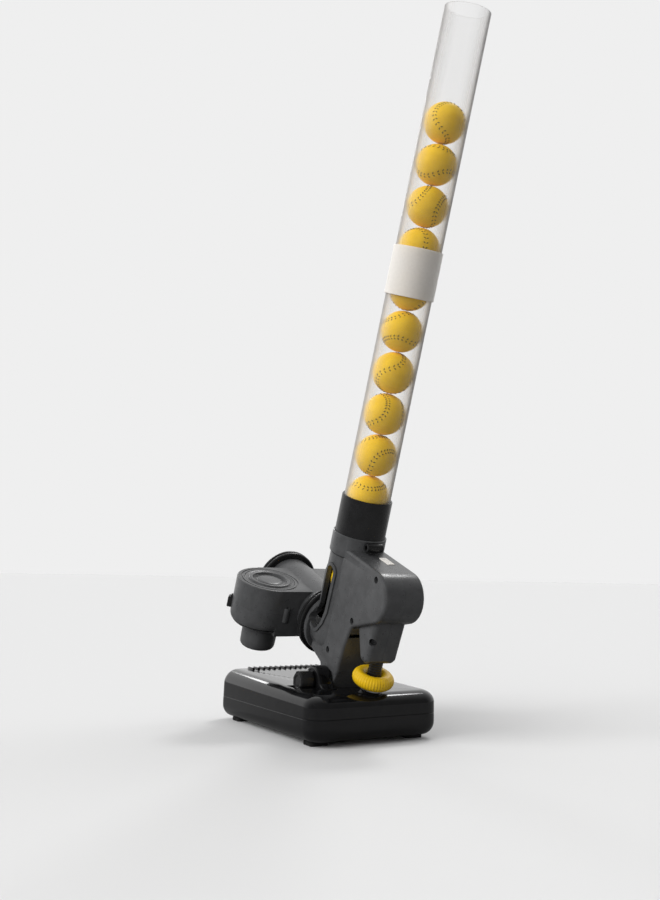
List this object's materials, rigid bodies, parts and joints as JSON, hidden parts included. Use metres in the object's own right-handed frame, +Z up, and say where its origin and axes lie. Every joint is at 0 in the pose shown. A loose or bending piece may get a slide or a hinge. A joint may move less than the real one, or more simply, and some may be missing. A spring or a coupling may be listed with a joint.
{
  "type": "baseball pitching machine",
  "caption": "Tabletop pitching machine: black base, leaning grey body, clear ball feed tube, and a throwing head with a spinning wheel on each side of its barrel.",
  "frame": {"origin": "on the floor, under the middle of the bounding box of the whole machine", "axes": "+Z up, +Y the direction the ball is thrown, +X to the right of somebody standing behind the machine"},
  "size_m": [0.1768, 0.3914, 0.7049],
  "materials": {
    "ball_yellow": "dull",
    "board_green": "lacquered",
    "cell_metal": "printed sleeve",
    "clear_tube": "clear",
    "frosted": "frosted",
    "gear_white": "satin",
    "gloss_black": "polished",
    "rubber_black": "matt",
    "satin_black": "satin",
    "satin_grey": "satin, fine grained",
    "steel": "zinc plated",
    "wheel_yellow": "satin"
  },
  "bodies": {
    "base": {"base_deck": "gloss_black", "base_pan": "gloss_black", "foot_front_left": "rubber_black", "foot_front_right": "rubber_black", "foot_rear_left": "rubber_black", "foot_rear_right": "rubber_black", "battery_cell_1": "cell_metal", "battery_cell_2": "cell_metal", "battery_cell_3": "cell_metal", "battery_cell_4": "cell_metal", "circuit_board": "board_green", "power_jack": "satin_black", "pivot_bolt": "steel", "rod_seat": "gloss_black"},
    "door": {"battery_door": "satin_black"},
    "switch": {"power_switch": "satin_black"},
    "knob": {"pivot_knob": "satin_black"},
    "body": {"body_shell_left": "satin_grey", "body_shell_right": "satin_grey", "shell_screw_rear": "steel", "shell_screw_middle": "steel", "shell_screw_neck": "steel", "collar_screw": "satin_black", "indicator_lens": "frosted", "feed_motor": "steel", "threaded_rod": "satin_black", "lug_screw": "steel", "tube_cup": "satin_black", "lower_tube": "clear_tube", "upper_tube": "clear_tube", "tube_coupling": "frosted"},
    "ball_column": {"ball_1": "ball_yellow", "ball_2": "ball_yellow", "ball_3": "ball_yellow", "ball_4": "ball_yellow", "ball_5": "ball_yellow", "ball_6": "ball_yellow", "ball_7": "ball_yellow", "ball_8": "ball_yellow", "ball_9": "ball_yellow", "ball_10": "ball_yellow", "ball_11": "ball_yellow", "ball_12": "ball_yellow"},
    "washer": {"seat_washer": "steel"},
    "wheel": {"height_wheel": "wheel_yellow"},
    "rotor": {"feed_rotor": "satin_black"},
    "idler": {"idler_gear": "gear_white"},
    "pinion": {"motor_pinion": "gear_white"},
    "head": {"head_shell_upper": "satin_grey", "head_shell_lower": "satin_grey", "rotation_ring": "satin_black", "muzzle_ring": "satin_black", "drum_cap_left": "satin_grey", "drum_cap_right": "satin_grey", "motor_cover_left": "satin_grey", "motor_cover_right": "satin_grey", "flywheel_motor_left": "steel", "flywheel_motor_right": "steel"},
    "left_flywheel": {"flywheel_left": "rubber_black"},
    "right_flywheel": {"flywheel_right": "rubber_black"}
  },
  "joints": [
    {"name": "tilt", "type": "hinge", "parent": "base", "child": "body", "pos_m": [0, 0.03956, 0.0505], "axis": [1, 0, 0], "range_deg": [-5, 6]},
    {"name": "knob_spin", "type": "hinge", "parent": "base", "child": "knob", "pos_m": [0, 0.03956, 0.0505], "axis": [1, 0, 0], "continuous": true},
    {"name": "switch_slide", "type": "slide", "parent": "base", "child": "switch", "axis": [0, 1, 0], "range_m": [0, 0.005]},
    {"name": "door_slide", "type": "slide", "parent": "base", "child": "door", "axis": [0, 1, 0], "range_m": [0, 0.007]},
    {"name": "ball_column_slide", "type": "slide", "parent": "body", "child": "ball_column", "axis": [0, -0.3502, 0.9367], "range_m": [0, 0.08]},
    {"name": "washer_slide", "type": "slide", "parent": "body", "child": "washer", "axis": [0, -0.3502, 0.9367], "range_m": [-0.0045, 0.0054]},
    {"name": "wheel_spin", "type": "hinge", "parent": "washer", "child": "wheel", "pos_m": [0, -0.01497, 0.05657], "axis": [0, -0.3502, 0.9367], "range_deg": [-260, 312]},
    {"name": "rotor_spin", "type": "hinge", "parent": "body", "child": "rotor", "pos_m": [0, 0.0179, 0.10857], "axis": [1, 0, 0], "continuous": true},
    {"name": "idler_spin", "type": "hinge", "parent": "body", "child": "idler", "pos_m": [0, -0.01923, 0.12907], "axis": [1, 0, 0], "continuous": true},
    {"name": "pinion_spin", "type": "hinge", "parent": "body", "child": "pinion", "pos_m": [0, -0.04997, 0.13017], "axis": [1, 0, 0], "continuous": true},
    {"name": "head_roll", "type": "hinge", "parent": "body", "child": "head", "pos_m": [0, 0.07126, 0.1029], "axis": [0, 0.9367, 0.3502], "range_deg": [-12, 12]},
    {"name": "left_flywheel_spin", "type": "hinge", "parent": "head", "child": "left_flywheel", "pos_m": [-0.051, 0.12409, 0.12265], "axis": [0, -0.3502, 0.9367], "continuous": true},
    {"name": "right_flywheel_spin", "type": "hinge", "parent": "head", "child": "right_flywheel", "pos_m": [0.051, 0.12409, 0.12265], "axis": [0, -0.3502, 0.9367], "continuous": true}
  ],
  "couplings": [
    {"joint": "washer_slide", "follows": "tilt", "m_per_rad": 0.04893},
    {"joint": "wheel_spin", "follows": "tilt", "ratio": 51.24},
    {"joint": "idler_spin", "follows": "rotor_spin", "ratio": -1.25},
    {"joint": "pinion_spin", "follows": "rotor_spin", "ratio": 2}
  ]
}
